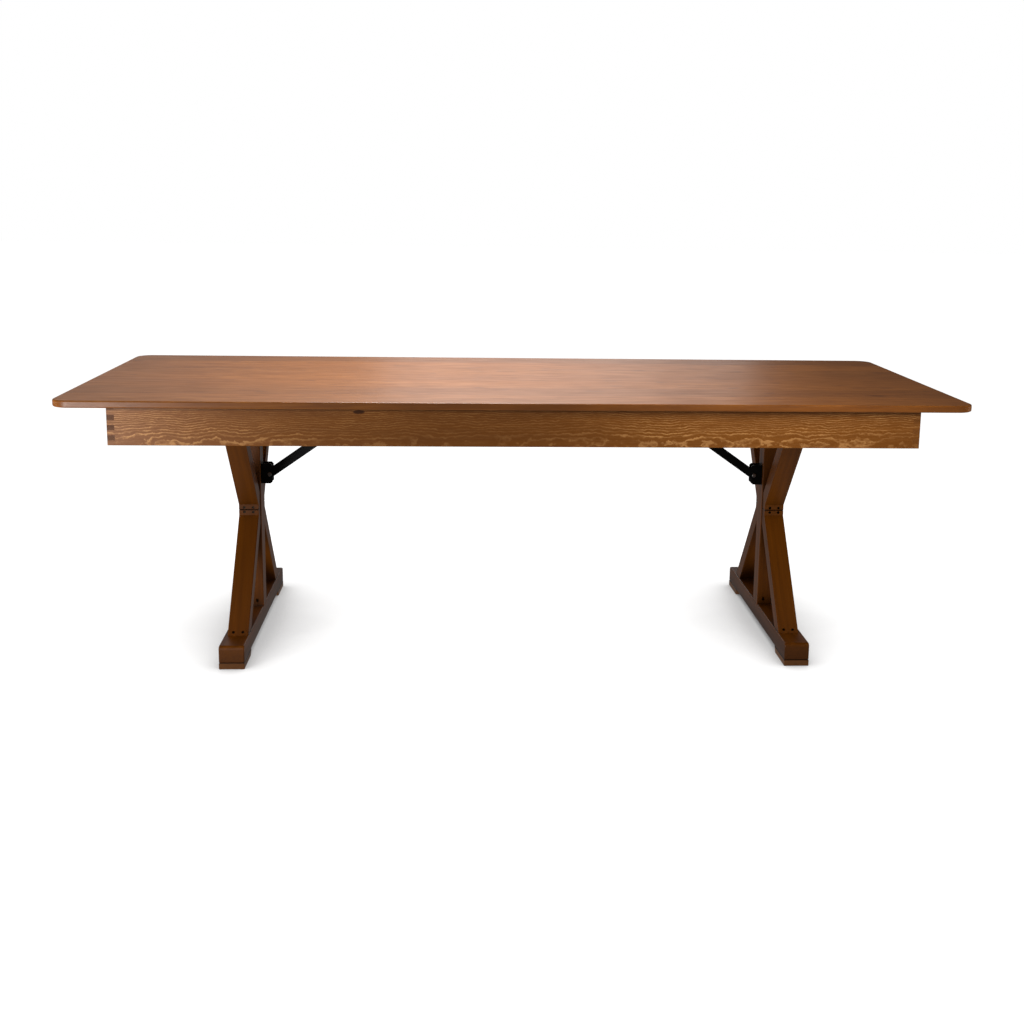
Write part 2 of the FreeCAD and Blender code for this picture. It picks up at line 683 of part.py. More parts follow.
def leg_fasteners():
    """Screws at the arm ends, the post's foot, the bracket and the moving hinge leaves."""
    kit = Fasteners(LEG_SCREW_LENGTH)
    neck = Fasteners(NECK_SCREW_LENGTH)
    for x in (arm_x - ARM_SCREW_SPACING / 2, arm_x + ARM_SCREW_SPACING / 2):
        for side in (-1, 1):
            toe_screw(kit, x, side * arm_foot_reach, foot_top, 1)
            toe_screw(kit, x, side * arm_rail_reach, rail_bottom, -1)
            seat = side * (neck_reach - ARM_SCREW_SINK)
            inward = Vector(0, -side, 0)
            neck.add(Vector(x, seat, crossing_z - ARM_SCREW_FROM_SEAM), inward)
            neck.add(Vector(x, seat, crossing_z + ARM_SCREW_FROM_SEAM), inward)
            slant = Vector(0, -side * POST_SCREW_TILT_SHARE, -1)
            slant.normalize()
            sunk = side * (POST_DEPTH / 2 - SCREW_HEAD_HEIGHT)
            kit.add(Vector(x, sunk, foot_top + POST_SCREW_RISE), slant)
    low = pivot_z - PIVOT_ABOVE_BRACKET_FOOT
    for z in (low + BRACKET_SCREW_EDGE, low + BRACKET_HEIGHT - BRACKET_SCREW_EDGE):
        kit.add(Vector(inner_face - BRACKET_WALL, 0, z), OUTWARD)
    for y in (-hinge_y, hinge_y):
        for place in hinge_screw_places(y):
            z = hinge_z - HINGE_LEAF_WIDTH + HINGE_SCREW_LINE
            kit.add(Vector(inner_face - HINGE_LEAF_THICKNESS, place, z), OUTWARD)
    kit.screws += neck.screws
    kit.holes += neck.holes
    return kit


# Screws into the underside of the top
def top_fasteners():
    """Screws of the cleats, the battens and the fixed hinge leaves."""
    kit = Fasteners(TOP_SCREW_LENGTH)
    strip_y = apron_inner_y - CLEAT_STRIP_SIZE / 2
    reach = apron_half_length - APRON_THICKNESS - CLEAT_STRIP_END_GAP - BATTEN_SCREW_END
    seat = underside - CLEAT_SCREW_SEAT
    for x in spread(CLEAT_SCREW_COUNT, reach):
        for y in (-strip_y, strip_y):
            kit.add(Vector(x, y, seat), UP)
    inner_line = hinge_cleat_x - HINGE_CLEAT_WIDTH / 2 + HINGE_SCREW_LINE
    for y in spread(BATTEN_SCREW_COUNT, batten_reach - BATTEN_SCREW_END):
        for x in (-inner_line, 0, inner_line):
            kit.add(Vector(x, y, seat), UP)
    leaf_x = hinge_x - HINGE_LEAF_WIDTH + HINGE_SCREW_LINE
    for y in (-hinge_y, hinge_y):
        for place in hinge_screw_places(y):
            for x in (-leaf_x, leaf_x):
                kit.add(Vector(x, place, cleat_bottom - HINGE_LEAF_THICKNESS), UP)
    return kit


def catch_fasteners():
    """Short screws through the catch plates' flanges."""
    kit = Fasteners(CATCH_SCREW_LENGTH)
    line = catch_back + CATCH_FLANGE_WIDTH - CATCH_SCREW_EDGE
    ends = (cross_x + CATCH_OUTER_REACH - CATCH_SCREW_EDGE, cross_x - CATCH_ARM_REACH + CATCH_SCREW_EDGE)
    for x in ends:
        for y in (-line, line):
            for side in (-1, 1):
                kit.add(Vector(side * x, y, underside - CATCH_FLANGE), UP)
    return kit


def right_trestle():
    """Named solids of the right-hand trestle."""
    kit = leg_fasteners()
    pads = [front_pad(), flipped(front_pad())]
    low = front_arm(arm_foot_reach, foot_top, -1)
    high = front_arm(arm_rail_reach, rail_bottom, 1)
    leaves = [moving_leaf(-hinge_y), moving_leaf(hinge_y)]
    return {
        "foot": [drilled(foot(), kit.holes)],
        "foot_pads": pads,
        "post": [drilled(post(), kit.holes)],
        "lower_front_arm": [drilled(low, kit.holes)],
        "lower_rear_arm": [drilled(flipped(low), kit.holes)],
        "upper_front_arm": [drilled(high, kit.holes)],
        "upper_rear_arm": [drilled(flipped(high), kit.holes)],
        "top_rail": [drilled(top_rail(), kit.holes)],
        "hinge_moving_leaves": [drilled(leaf, kit.holes) for leaf in leaves],
        "strut_bracket": [drilled(bracket(), kit.holes)],
        "pivot_bolt": [pivot_bolt()],
        "pivot_nut": [pivot_nut()],
        "leg_screws": kit.screws,
    }


def right_strut():
    """Named solids of the right-hand strut, its catch and its latch."""
    short = catch_fasteners()
    return {
        "strut": [strut()],
        "strut_cross_pin": [cross_pin()],
        "catch_front_plate": [drilled(front_catch(True), short.holes)],
        "catch_rear_plate": [drilled(flipped(front_catch(False)), short.holes)],
        "latch_pin": [latch_pin()],
        "latch": [latch()],
    }


def fixed_pieces():
    """Named solids of the table's fixed body, apart from the catches."""
    kit = top_fasteners()
    short = catch_fasteners()
    boards = top_boards()
    pieces = {}
    for i, board in enumerate(boards):
        pieces["top_board_" + str(i + 1)] = [drilled(board, kit.holes + short.holes)]
    strip = front_cleat()
    cleat = cross_batten(hinge_cleat_x, HINGE_CLEAT_WIDTH)
    leaves = [drilled(fixed_leaf(y), kit.holes) for y in (-hinge_y, hinge_y)]
    pins = [hinge_pin(y) for y in (-hinge_y, hinge_y)]
    pieces["front_apron"] = [front_apron()]
    pieces["rear_apron"] = [flipped(front_apron())]
    pieces["right_apron"] = [right_apron()]
    pieces["left_apron"] = [mirrored(right_apron())]
    pieces["corner_blocks"] = corner_blocks()
    pieces["front_cleat_strip"] = [drilled(strip, kit.holes)]
    pieces["rear_cleat_strip"] = [drilled(flipped(strip), kit.holes)]
    pieces["right_hinge_cleat"] = [drilled(cleat, kit.holes)]
    pieces["left_hinge_cleat"] = [drilled(mirrored(cleat), kit.holes)]
    pieces["centre_batten"] = [drilled(cross_batten(0, BATTEN_WIDTH), kit.holes)]
    pieces["hinge_fixed_leaves"] = leaves + [mirrored(leaf) for leaf in leaves]
    pieces["hinge_pins"] = pins + [mirrored(pin) for pin in pins]
    pieces["top_screws"] = kit.screws
    pieces["catch_screws"] = short.screws
    return pieces


def main():
    """Write every piece to its own file."""
    pieces = fixed_pieces()
    for name, solids in {**right_trestle(), **right_strut()}.items():
        pieces["right_" + name] = solids
        pieces["left_" + name] = [mirrored(s) for s in solids]
    os.makedirs("parts", exist_ok=True)
    for name, solids in pieces.items():
        whole = solids[0] if len(solids) == 1 else Part.makeCompound(solids)
        whole.exportStep("parts/" + name + ".step")
    print(len(pieces), "nodes; hinge", round(hinge_x, 3), round(hinge_z, 3),
          "cross pin", round(cross_x, 3), round(cross_z, 3), "latch", round(latch_x, 3), round(latch_z, 3))


main()
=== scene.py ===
import math

import bpy
from mathutils import Euler, Matrix, Vector


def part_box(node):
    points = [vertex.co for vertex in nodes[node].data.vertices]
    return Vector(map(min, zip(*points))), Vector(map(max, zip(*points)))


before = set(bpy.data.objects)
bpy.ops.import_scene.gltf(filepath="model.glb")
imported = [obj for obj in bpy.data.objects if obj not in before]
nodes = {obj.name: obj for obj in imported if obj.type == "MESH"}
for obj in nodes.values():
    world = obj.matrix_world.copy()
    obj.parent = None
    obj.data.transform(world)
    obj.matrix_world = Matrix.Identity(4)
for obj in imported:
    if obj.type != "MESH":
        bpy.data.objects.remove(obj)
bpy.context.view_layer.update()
scene = bpy.context.scene
scene.view_settings.view_transform = "Standard"

SIDES = ("left", "right")

# Sockets of the colour mix node, by place
MIX_FACTOR, MIX_A, MIX_B, MIX_RESULT = 0, 6, 7, 2


# Node graph helpers
class Graph:
    """A material's node tree, with short calls for adding and linking nodes."""

    def __init__(self, name):
        self.material = bpy.data.materials.new(name)
        self.material.use_nodes = True
        self.tree = self.material.node_tree
        self.tree.nodes.clear()
        self.shader = self.add("ShaderNodeBsdfPrincipled")
        output = self.add("ShaderNodeOutputMaterial")
        self.link(self.shader.outputs["BSDF"], output.inputs["Surface"])
        coords = self.add("ShaderNodeTexCoord")
        self.point = coords.outputs["Object"]
        self.normal = coords.outputs["Normal"]

    def add(self, kind, **settings):
        node = self.tree.nodes.new(kind)
        for key, value in settings.items():
            setattr(node, key, value)
        return node

    def link(self, source, target):
        self.tree.links.new(source, target)

    def feed(self, socket, value):
        """The socket takes another socket's value, or a constant."""
        if isinstance(value, bpy.types.NodeSocket):
            self.link(value, socket)
        else:
            socket.default_value = value

    def mapping(self, source, location=(0, 0, 0), rotation=(0, 0, 0), scale=(1, 1, 1), kind="POINT"):
        node = self.add("ShaderNodeMapping", vector_type=kind)
        self.link(source, node.inputs["Vector"])
        if kind == "POINT":
            node.inputs["Location"].default_value = location
        node.inputs["Rotation"].default_value = rotation
        node.inputs["Scale"].default_value = scale
        return node.outputs["Vector"]

    def noise(self, source, scale, detail, roughness=0.55, colour=False):
        node = self.add("ShaderNodeTexNoise")
        self.link(source, node.inputs["Vector"])
        node.inputs["Scale"].default_value = scale
        node.inputs["Detail"].default_value = detail
        node.inputs["Roughness"].default_value = roughness
        return node.outputs["Color" if colour else "Fac"]

    def stretched(self, source, scale, detail, roughness, location=(0, 0, 0)):
        """Noise with a scale of its own along each axis."""
        return self.noise(self.mapping(source, location, scale=scale), 1.0, detail, roughness)

    def bend(self, source, location, stretch, scale, detail, reach):
        """A push across the grain of up to about half the reach, to either side."""
        at = self.mapping(source, location, scale=(stretch, 1.0, 1.0))
        push = self.vector("SUBTRACT", self.noise(at, scale, detail, colour=True), (0.5, 0.5, 0.5))
        return self.vector("MULTIPLY", push, (0.0, reach, reach))

    def math(self, operation, a, b=0.0, clamp=False):
        node = self.add("ShaderNodeMath", operation=operation, use_clamp=clamp)
        self.feed(node.inputs[0], a)
        self.feed(node.inputs[1], b)
        return node.outputs[0]

    def vector(self, operation, a, b):
        node = self.add("ShaderNodeVectorMath", operation=operation)
        self.feed(node.inputs[0], a)
        self.feed(node.inputs[1], b)
        return node.outputs[0]

    def split(self, source):
        """The X, Y and Z of a vector, by name."""
        node = self.add("ShaderNodeSeparateXYZ")
        self.link(source, node.inputs["Vector"])
        return node.outputs

    def profile(self, source, stops):
        """A grey curve through stops of place and brightness."""
        node = self.add("ShaderNodeValToRGB")
        self.link(source, node.inputs["Fac"])
        points = node.color_ramp.elements
        while len(points) < len(stops):
            points.new(1.0)
        for point, (place, grey) in zip(points, stops):
            point.position = place
            point.color = (grey, grey, grey, 1.0)
        return node.outputs["Color"]

    def level(self, source, low, high):
        """0 below low, 1 above high, smooth between them."""
        node = self.add("ShaderNodeMapRange", interpolation_type="SMOOTHSTEP")
        self.link(source, node.inputs["Value"])
        node.inputs["From Min"].default_value = low
        node.inputs["From Max"].default_value = high
        return node.outputs["Result"]

    def spread(self, source, low, high):
        """A 0 to 1 value, moved to low to high."""
        node = self.add("ShaderNodeMapRange")
        self.link(source, node.inputs["Value"])
        node.inputs["To Min"].default_value = low
        node.inputs["To Max"].default_value = high
        return node.outputs["Result"]

    def mix(self, factor, a, b):
        node = self.add("ShaderNodeMix", data_type="RGBA")
        self.feed(node.inputs[MIX_FACTOR], factor)
        for place, value in ((MIX_A, a), (MIX_B, b)):
            constant = not isinstance(value, bpy.types.NodeSocket)
            self.feed(node.inputs[place], tuple(value) + (1.0,) if constant else value)
        return node.outputs[MIX_RESULT]

    def tint(self, colour, towards, amount, source, span):
        """The colour, moved towards another by the amount where the source is above the span."""
        return self.mix(self.spread(self.level(source, *span), 0.0, amount), colour, towards)

    def fade(self, colour, towards, amount, source, span):
        """The colour, moved towards another by the amount where the source is below the span."""
        return self.mix(self.spread(self.level(source, *span), amount, 0.0), colour, towards)

    def bump(self, height, strength, distance):
        node = self.add("ShaderNodeBump")
        node.inputs["Strength"].default_value = strength
        node.inputs["Distance"].default_value = distance
        self.link(height, node.inputs["Height"])
        self.link(node.outputs["Normal"], self.shader.inputs["Normal"])


# Wood rings: spacing in metres at a texture scale of 1, and the pale line's shape across a ring
RING_SPACING = 0.31416
RING_PROFILE = ((0.0, 0.0), (0.52, 0.0), (0.8, 1.0), (0.92, 0.85), (1.0, 0.0))

# Stretch along the grain, scale and detail of the noise that bends the rings
SLOW_BEND = dict(stretch=0.45, scale=3.2, detail=2.0)
WAVE_BEND = dict(stretch=0.62, scale=13.0, detail=2.0)
JAG_BEND = dict(stretch=0.7, detail=4.0)

# Scale along and across the grain of the noise for fibres, gaps in the lines and uneven stain
FIBRE_SCALE = (9.0, 520.0, 520.0)
GAP_SCALE = (24.0, 110.0, 110.0)
STAIN_SCALE = (1.1, 4.0, 4.0)
PORE_SCALE = 620.0

# Where a noise starts to count, and where it counts in full
STREAK_SPAN = (0.3, 0.72)
FIBRE_SPAN = (0.45, 0.75)
FLECK_SPAN = (0.58, 0.82)
STAIN_SPAN = (0.35, 0.7)
VEIL_SPAN = (0.3, 0.62)
GAP_SPAN = (0.36, 0.58)
PORE_SPAN = (0.4, 0.65)

# How much of a pale line is left under heavy stain, and in its gaps
VEILED, IN_GAPS = 0.35, 0.25

# A knot's rim in parts of its size, the dark core of a level dark line (dark joints, and the painted
# shadow under the lip) in parts of its reach, and how dark both are
KNOT_RIM, KNOT_DEPTH = (0.75, 1.1), 0.92
SEAM_AND_SHADOW_CORE, SEAM_AND_SHADOW_DEPTH = 0.2, 0.85
# Colour of the dark joint lines, of the painted shadow under the lip and of the painted shade in inner
# corners
SEAM_AND_SHADE_TONE = (0.012, 0.003, 0.0005)

# Painted shade in inner corners: reach in metres, and how closed a point is
CORNER_REACH, CORNER_SPAN, CORNER_SAMPLES = 0.11, (0.40, 0.97), 8

# How squarely a face looks along the grain, or across it to the side
END_SPAN, EDGE_SPAN = (0.75, 0.95), (0.6, 0.95)

# Finish: how much smoother and rougher it gets than its gloss, and the fine relief
SMOOTHER, ROUGHER, END_ROUGHER = 0.08, 0.1, 0.12
FIBRE_RELIEF, RELIEF_DEPTH = 0.7, 0.0006


def wood(name, centre, turn, pith, tone, seed, mark=None, seam_and_shadow=None):
    """Solid wood with growth rings about an axis outside the board; turn brings the grain to X."""
    g = Graph(name)
    place = Euler(turn, "XYZ").to_matrix() @ (-Vector(centre)) + Vector(pith)
    placed = g.mapping(g.point, location=place, rotation=turn)

    # Slow wander of the rings, waves of a hand's length, and a finer jag along each line
    slow = g.bend(placed, (seed, seed / 3, -seed), reach=tone["wander"], **SLOW_BEND)
    wave = g.bend(placed, (seed / 2, -seed, seed), reach=tone["wave"], **WAVE_BEND)
    jag = g.bend(placed, (-seed, seed, seed / 2), scale=tone["jag_scale"], reach=tone["jag"], **JAG_BEND)
    bent = g.vector("ADD", g.vector("ADD", g.vector("ADD", placed, slow), wave), jag)

    rings = g.add("ShaderNodeTexWave", wave_type="RINGS", rings_direction="X", wave_profile="SAW")
    g.link(bent, rings.inputs["Vector"])
    rings.inputs["Scale"].default_value = RING_SPACING / tone["ring"]
    rings.inputs["Distortion"].default_value = 0.0
    line = g.profile(rings.outputs["Fac"], RING_PROFILE)

    # Fibres, flecks and uneven stain
    fibre = g.stretched(bent, FIBRE_SCALE, detail=4.0, roughness=0.65)
    streak = g.stretched(bent, tone["streak_scale"], detail=3.0, roughness=0.6)
    fleck = g.stretched(placed, tone["fleck_scale"], detail=2.0, roughness=0.5, location=(seed, 0, 0))
    stain = g.stretched(placed, STAIN_SCALE, detail=3.0, roughness=0.55, location=(0, seed, seed))
    gaps = g.stretched(bent, GAP_SCALE, detail=3.0, roughness=0.65, location=(seed, seed, 0))

    veil = g.spread(g.level(stain, *VEIL_SPAN), tone["line"], VEILED * tone["line"])
    shown = g.math("MULTIPLY", line, veil)
    shown = g.math("MULTIPLY", shown, g.spread(g.level(gaps, *GAP_SPAN), IN_GAPS, 1.0))
    colour = g.mix(shown, tone["base"], tone["light"])
    colour = g.tint(colour, tone["dark"], tone["streak"], streak, STREAK_SPAN)
    colour = g.tint(colour, tone["light"], tone["fibre"], fibre, FIBRE_SPAN)
    colour = g.tint(colour, tone["dark"], tone["fleck"], fleck, FLECK_SPAN)
    colour = g.tint(colour, tone["dark"], tone["stain"], stain, STAIN_SPAN)

    # A dark knot
    if mark:
        off = g.vector("SUBTRACT", g.vector("ADD", g.point, jag), mark["at"])
        near = g.add("ShaderNodeVectorMath", operation="LENGTH")
        g.link(g.vector("DIVIDE", off, mark["size"]), near.inputs[0])
        colour = g.fade(colour, tone["end"], KNOT_DEPTH, near.outputs["Value"], KNOT_RIM)

    # A level dark line: a dark joint on the trestles, and a painted shadow under the lip of the top on
    # the aprons
    if seam_and_shadow:
        height, reach = seam_and_shadow
        away = g.math("ABSOLUTE", g.math("SUBTRACT", g.split(g.point)["Z"], height))
        colour = g.fade(colour, SEAM_AND_SHADE_TONE, SEAM_AND_SHADOW_DEPTH, away, (SEAM_AND_SHADOW_CORE * reach, reach))

    # Painted shade in inner corners: darker where ambient occlusion finds nearby parts
    if tone["corner"]:
        open_air = g.add("ShaderNodeAmbientOcclusion", samples=CORNER_SAMPLES)
        open_air.inputs["Distance"].default_value = CORNER_REACH
        colour = g.fade(colour, SEAM_AND_SHADE_TONE, tone["corner"], open_air.outputs["AO"], CORNER_SPAN)

    # End grain takes more stain, and the sides of the top boards are darker
    facing = g.split(g.mapping(g.normal, rotation=turn, kind="VECTOR"))
    end = g.level(g.math("ABSOLUTE", facing["X"]), *END_SPAN)
    pore = g.noise(placed, PORE_SCALE, detail=2.0, roughness=0.6)
    end_tone = g.mix(g.level(pore, *PORE_SPAN), tone["end"], tone["dark"])
    colour = g.mix(g.spread(end, 0.0, tone["soak"]), colour, end_tone)
    if tone["edge"]:
        sideways = g.math("ABSOLUTE", facing["Y"])
        colour = g.tint(colour, tone["dark"], tone["edge"], sideways, EDGE_SPAN)
    g.link(colour, g.shader.inputs["Base Color"])

    rough = g.spread(streak, tone["gloss"] - SMOOTHER, tone["gloss"] + ROUGHER)
    rough = g.math("ADD", rough, g.spread(end, 0.0, END_ROUGHER), clamp=True)
    g.link(rough, g.shader.inputs["Roughness"])
    g.shader.inputs["Specular IOR Level"].default_value = tone["shine"]
    raised = g.math("MULTIPLY", line, tone["relief"])
    raised = g.math("ADD", raised, g.math("MULTIPLY", fibre, FIBRE_RELIEF))
    g.bump(raised, tone["bump"], RELIEF_DEPTH)
    return g.material


# Tones of the wood: colours, then ring spacing and bends in metres, noise scales, and strengths
TOP = dict(
    base=(0.290, 0.092, 0.0105), light=(0.400, 0.150, 0.026), dark=(0.105, 0.028, 0.003),
    end=(0.170, 0.050, 0.006), ring=0.0075, wander=0.034, wave=0.006, jag=0.003, jag_scale=42.0,
    line=0.60, streak=0.48, streak_scale=(8.0, 52.0, 52.0), fibre=0.20, fleck=0.90,
    fleck_scale=(13.0, 40.0, 40.0), stain=0.24, soak=0.5, edge=0.40, corner=0.0, gloss=0.40,
    shine=0.5, relief=0.35, bump=0.10)
APRON = dict(
    base=(0.222, 0.070, 0.0060), light=(0.620, 0.300, 0.095), dark=(0.125, 0.036, 0.003),
    end=(0.050, 0.013, 0.002), ring=0.0043, wander=0.024, wave=0.018, jag=0.0056, jag_scale=92.0,
    line=1.0, streak=0.32, streak_scale=(1.6, 46.0, 46.0), fibre=0.16, fleck=0.12,
    fleck_scale=(7.0, 75.0, 75.0), stain=0.30, soak=0.8, edge=0.0, corner=0.0, gloss=0.44,
    shine=0.3, relief=0.8, bump=0.20)
PALE_END = dict(APRON, end=(0.150, 0.046, 0.005), soak=0.55)
LEG = dict(
    base=(0.162, 0.045, 0.0024), light=(0.215, 0.070, 0.006), dark=(0.058, 0.016, 0.001),
    end=(0.150, 0.044, 0.004), ring=0.0065, wander=0.030, wave=0.006, jag=0.004, jag_scale=42.0,
    line=0.40, streak=0.45, streak_scale=(1.6, 46.0, 46.0), fibre=0.14, fleck=0.15,
    fleck_scale=(7.0, 75.0, 75.0), stain=0.50, soak=0.5, edge=0.0, corner=0.85, gloss=0.36,
    shine=0.25, relief=0.25, bump=0.07)
# The leg wood painted lighter and greyer: a painted reflection of the pale floor on the pads, without
# the painted corner shade
LEG_PAINTED_LIGHTER = dict(
    LEG, base=(0.200, 0.082, 0.026), light=(0.250, 0.110, 0.040), dark=(0.090, 0.034, 0.009),
    corner=0.0)
INNER = dict(
    base=(0.310, 0.155, 0.055), light=(0.200, 0.085, 0.026), dark=(0.170, 0.072, 0.022),
    end=(0.180, 0.080, 0.026), ring=0.006, wander=0.030, wave=0.006, jag=0.004, jag_scale=42.0,
    line=0.7, streak=0.25, streak_scale=(1.6, 46.0, 46.0), fibre=0.2, fleck=0.2,
    fleck_scale=(7.0, 75.0, 75.0), stain=0.25, soak=0.7, edge=0.0, corner=0.0, gloss=0.6,
    shine=0.3, relief=0.5, bump=0.15)

ALONG_X = (0.0, 0.0, 0.0)
ALONG_Y = (0.0, 0.0, -math.pi / 2)
ALONG_Z = (0.0, math.pi / 2, 0.0)


def paint(node, material):
    """The CAD node shows this material all over."""
    slots = nodes[node].data.materials
    slots.clear()
    slots.append(material)


def toned(tone, factor):
    """The same wood, lighter or darker."""
    keys = ("base", "light", "dark", "end")
    return dict(tone, **{key: tuple(factor * part for part in tone[key]) for key in keys})


def grained(node, tone, turn, pith, seed, mark=None, seam_and_shadow=None):
    """Wood of its own for one CAD node; the last argument is the height and reach of a level dark line:
    a dark joint on the trestles, a painted shadow under the lip on the aprons.
    """
    low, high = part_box(node)
    paint(node, wood("wood_" + node, (low + high) / 2, turn, pith, tone, seed, mark, seam_and_shadow))


# Top boards, each with a pith, tilt and tone of its own, and few flecks on the two outer ones
BOARDS = 7
PITH_DRIFT, PITH_DEPTH, PITH_STEP = 0.022, 0.055, 1.3
GRAIN_TILT, TILT_SHARE = 0.012, 0.4
TONE_SWING = 0.14
OUTER_FLECK = 0.3
BOARD_SEED = 3.7


def sway(board, pace, start):
    """A number from -1 to 1 that changes from board to board."""
    return math.sin(pace * board + start)


for i in range(BOARDS):
    drift = PITH_DRIFT * sway(i, 2.3, 0.4)
    tilt = GRAIN_TILT * sway(i, 1.7, 1.1)
    board_tone = toned(TOP, 1.0 + TONE_SWING * sway(i, 2.9, 0.6))
    if i in (0, BOARDS - 1):
        board_tone["fleck"] = OUTER_FLECK
    pith = (PITH_STEP * i, drift, PITH_DEPTH + drift / 2)
    turn = (0.0, tilt, TILT_SHARE * tilt)
    grained("top_board_%d" % (i + 1), board_tone, turn, pith, BOARD_SEED * i)

# Apron boards, with a painted shadow of the top's overhang as a dark line just under the lip
KNOT = dict(at=(-0.4305, -0.445, 0.7270), size=(0.0165, 0.03, 0.0052))
LIP_SHADOW_REACH = 0.019
lip_shadow = (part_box("front_apron")[1].z, LIP_SHADOW_REACH)
grained("front_apron", APRON, (0.0, 0.008, 0.004), (0.4, -0.055, 0.050), 11.0, mark=KNOT, seam_and_shadow=lip_shadow)
grained("rear_apron", APRON, (0.0, -0.012, 0.006), (2.4, 0.060, 0.030), 17.0, seam_and_shadow=lip_shadow)
grained("left_apron", APRON, ALONG_Y, (0.3, 0.06, -0.035), 23.0, seam_and_shadow=lip_shadow)
grained("right_apron", PALE_END, ALONG_Y, (1.3, 0.055, 0.038), 29.0, seam_and_shadow=lip_shadow)

# Pieces under the top
INNER_PITH, INNER_SEED = (0.2, 0.04, 0.05), 1.9
for node, turn in (("front_cleat_strip", ALONG_X), ("rear_cleat_strip", ALONG_X),
                   ("left_hinge_cleat", ALONG_Y), ("right_hinge_cleat", ALONG_Y),
                   ("centre_batten", ALONG_Y), ("corner_blocks", ALONG_Z)):
    grained(node, INNER, turn, INNER_PITH, len(node) * INNER_SEED)

# Trestles, with a dark joint line at the neck of the X and over the pads, partly a real dark joint and
# partly painted shade in the groove; each arm's sign is its slope's
JOINT_REACH = 0.0034
ARMS = (("lower_front_arm", 1), ("upper_front_arm", -1), ("lower_rear_arm", -1), ("upper_rear_arm", 1))
for s, side in enumerate(SIDES):
    low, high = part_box(side + "_lower_front_arm")
    slope = math.atan2(high.z - low.z, high.y - low.y)
    neck = (high.z, JOINT_REACH)
    sole = (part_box(side + "_foot_pads")[1].z, JOINT_REACH)
    grained(side + "_foot", LEG, ALONG_Y, (0.1, 0.035, 0.045), 5.0 + s, seam_and_shadow=sole)
    # The pads take the leg wood with its painted floor reflection
    grained(side + "_foot_pads", LEG_PAINTED_LIGHTER, ALONG_Y, (0.9, 0.030, 0.040), 7.0 + s, seam_and_shadow=sole)
    grained(side + "_post", LEG, ALONG_Z, (0.4, 0.050, 0.030), 9.0 + s)
    grained(side + "_top_rail", LEG, ALONG_Y, (0.6, 0.040, 0.050), 13.0 + s)
    for k, (arm, sign) in enumerate(ARMS):
        turn = (-sign * slope, 0.0, -math.pi / 2)
        grained(side + "_" + arm, LEG, turn, (0.5 * k, 0.045, 0.040), 15.0 + 2 * k + s, seam_and_shadow=neck)


# Metal
def powder_coat(name, clean, dusty):
    """Black coat with a faint orange peel."""
    g = Graph(name)
    peel = g.noise(g.point, scale=900.0, detail=2.0, roughness=0.5)
    dust = g.noise(g.point, scale=30.0, detail=4.0, roughness=0.6)
    g.link(g.mix(g.level(dust, low=0.45, high=0.8), clean, dusty), g.shader.inputs["Base Color"])
    g.link(g.spread(dust, low=0.38, high=0.56), g.shader.inputs["Roughness"])
    g.shader.inputs["Specular IOR Level"].default_value = 0.25
    g.bump(peel, strength=0.12, distance=0.0002)
    return g.material


def plated(name, bright, dull, rough):
    """Plated steel, slightly mottled, with fine turning marks."""
    g = Graph(name)
    mottle = g.noise(g.point, scale=140.0, detail=4.0, roughness=0.6)
    marks = g.stretched(g.point, (400.0, 2600.0, 400.0), detail=2.0, roughness=0.5)
    g.link(g.mix(g.level(mottle, low=0.35, high=0.7), bright, dull), g.shader.inputs["Base Color"])
    g.link(g.spread(mottle, low=rough - 0.06, high=rough + 0.14), g.shader.inputs["Roughness"])
    g.shader.inputs["Metallic"].default_value = 1.0
    g.bump(marks, strength=0.10, distance=0.0001)
    return g.material


black = powder_coat("black_coat", clean=(0.0025, 0.0025, 0.0028), dusty=(0.008, 0.0075, 0.007))
zinc = plated("zinc_plate", bright=(0.56, 0.56, 0.55), dull=(0.40, 0.40, 0.41), rough=0.36)
bronze = plated("dark_bronze", bright=(0.075, 0.050, 0.034), dull=(0.030, 0.020, 0.014), rough=0.44)
for side in SIDES:
    for node in ("strut_bracket", "strut", "strut_cross_pin", "catch_front_plate", "catch_rear_plate",
                 "latch"):
        paint(side + "_" + node, black)
    for node in ("pivot_bolt", "pivot_nut", "latch_pin", "hinge_moving_leaves"):
        paint(side + "_" + node, zinc)
    paint(side + "_leg_screws", bronze)
for node in ("hinge_fixed_leaves", "hinge_pins", "top_screws", "catch_screws"):
    paint(node, zinc)


# Camera at the photograph's place: metres, radians, and pixels of a square frame
CAMERA_AT = (-0.153287, -4.037880, 1.298872)
YAW, PITCH, ROLL = 0.0648050, 0.1936566, 0.0158010
FOCAL_PX, CENTRE_PX, FRAME_PX = 1362.2332, (550.2830, 462.3349), 1024.0
SENSOR_MM = 36.0

ahead = Vector((math.sin(YAW), math.cos(YAW), 0.0))
across = Vector((math.cos(YAW), -math.sin(YAW), 0.0))
up = Vector((0.0, 0.0, 1.0))
forward = ahead * math.cos(PITCH) - up * math.sin(PITCH)
above = up * math.cos(PITCH) + ahead * math.sin(PITCH)
right = across * math.cos(ROLL) + above * math.sin(ROLL)
top = above * math.cos(ROLL) - across * math.sin(ROLL)
lens = bpy.data.cameras.new("camera")
lens.sensor_width = SENSOR_MM
lens.lens = FOCAL_PX / FRAME_PX * SENSOR_MM
lens.shift_x = (FRAME_PX / 2 - CENTRE_PX[0]) / FRAME_PX
lens.shift_y = (CENTRE_PX[1] - FRAME_PX / 2) / FRAME_PX
camera = bpy.data.objects.new("camera", lens)
turned = Matrix((right, top, -forward)).transposed().to_4x4()
camera.matrix_world = Matrix.Translation(CAMERA_AT) @ turned
scene.collection.objects.link(camera)
scene.camera = camera

# Floor: half its width and the reach of the shade in metres, and how the shade deepens
FLOOR_REACH = 30.0
FLOOR_TONES = (0.34, 0.34, 0.34), (0.38, 0.38, 0.38)
SHADE_REACH, SHADE_SAMPLES, SHADE_POWER = 0.36, 12, 1.3
WHITE = (1.0, 1.0, 1.0, 1.0)


